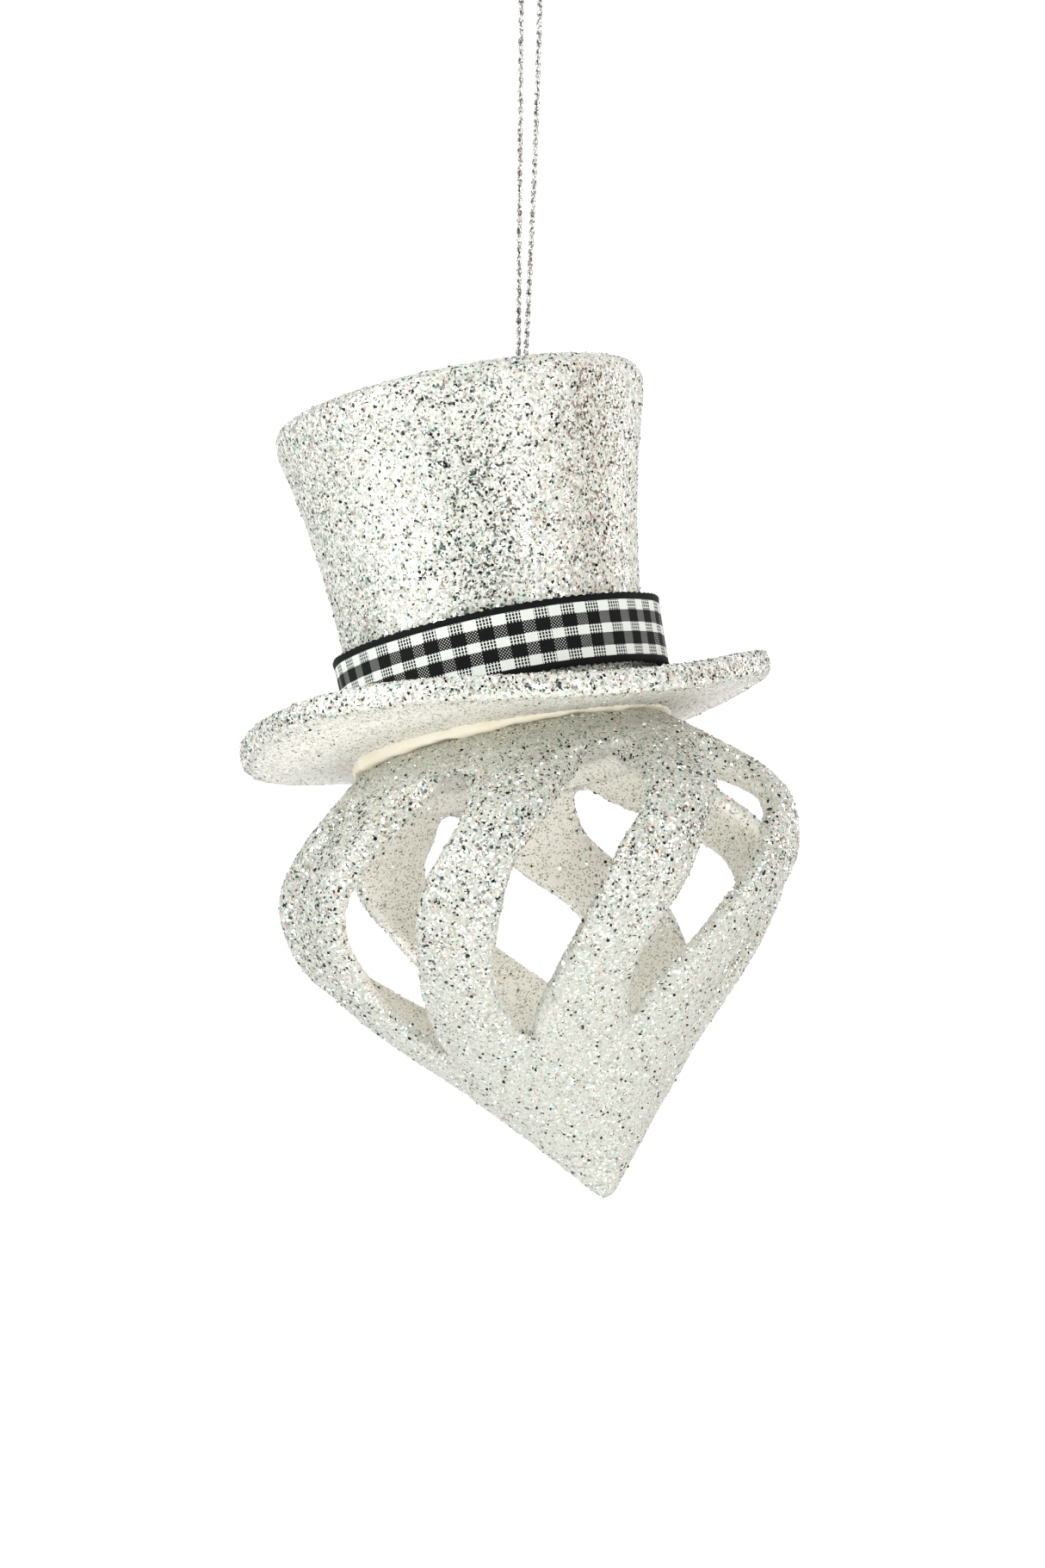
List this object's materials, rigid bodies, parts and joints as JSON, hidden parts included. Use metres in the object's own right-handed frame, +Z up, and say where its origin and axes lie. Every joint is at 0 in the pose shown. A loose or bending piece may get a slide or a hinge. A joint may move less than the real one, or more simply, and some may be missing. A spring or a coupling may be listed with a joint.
{
  "type": "top hat and spiral drop hanging ornament",
  "caption": "Glittered top hat with a gingham ribbon band, glued on an openwork spiral drop that ends in a point, hung from a metallic cord loop.",
  "frame": {"origin": "the bight of the cord loop, where a hook holds it", "axes": "+Z up along the hanging line; +X to the viewer's right and +Y away from the viewer who faces the ribbon's lapped end on the right"},
  "size_m": [0.0807, 0.0774, 0.1818],
  "materials": {
    "metallic_cord": "thin twisted cord with metallic foil strands",
    "hat_glitter": "moulded plastic coated all over with white and silver glitter",
    "cage_glitter": "moulded plastic coated all over with white and silver glitter",
    "gingham_ribbon": "woven black and white checked ribbon with black edges",
    "hot_glue": "cream hot-melt glue, slightly translucent"
  },
  "bodies": {
    "hanging_loop": {"hanging_cord": "metallic_cord"},
    "cord_knot": {"exit_knot": "metallic_cord"},
    "ornament": {"inner_knot": "metallic_cord", "cord_tails": "metallic_cord", "crown_shell": "hat_glitter", "hat_brim": "hat_glitter", "ribbon_band": "gingham_ribbon", "ribbon_glue_dab": "hot_glue", "glue_seam": "hot_glue", "cage_cap": "cage_glitter", "swirl_rib_1": "cage_glitter", "swirl_rib_2": "cage_glitter", "swirl_rib_3": "cage_glitter", "swirl_rib_4": "cage_glitter", "swirl_rib_5": "cage_glitter", "swirl_rib_6": "cage_glitter", "swirl_rib_7": "cage_glitter", "swirl_rib_8": "cage_glitter", "cage_tip": "cage_glitter"}
  },
  "joints": [
    {"name": "swing_side", "type": "hinge", "parent": "hanging_loop", "child": "cord_knot", "pos_m": [-0.00142, 0, -0.062], "axis": [0, 1, 0], "range_deg": [-40, 40]},
    {"name": "swing_fore_aft", "type": "hinge", "parent": "cord_knot", "child": "ornament", "pos_m": [-0.00142, 0, -0.062], "axis": [1, 0, 0], "range_deg": [-40, 40]}
  ]
}
